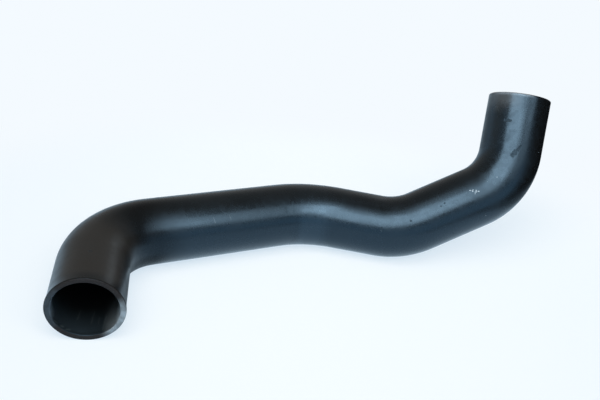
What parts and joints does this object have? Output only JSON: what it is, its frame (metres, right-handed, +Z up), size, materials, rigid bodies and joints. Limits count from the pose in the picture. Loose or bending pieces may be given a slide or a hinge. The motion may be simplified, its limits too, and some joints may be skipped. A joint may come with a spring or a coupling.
{
  "type": "charge air hose",
  "caption": "Moulded rubber charge air hose, a thick-walled tube bent several ways, with a slightly flared open mouth at one end and a plain trimmed outlet at the other.",
  "frame": {"origin": "on the floor, under the middle of the hose's bounding box as it lies at rest", "axes": "+Z up from the floor; the open mouth faces -Y and its leg runs along Y; the long run goes off towards +X and the outlet leg rises towards +Z, leaning back to +Y"},
  "size_m": [0.4968, 0.2294, 0.1854],
  "materials": {
    "hose_rubber": "satin, worn"
  },
  "bodies": {
    "root": {"charge_air_hose": "hose_rubber"}
  },
  "joints": []
}
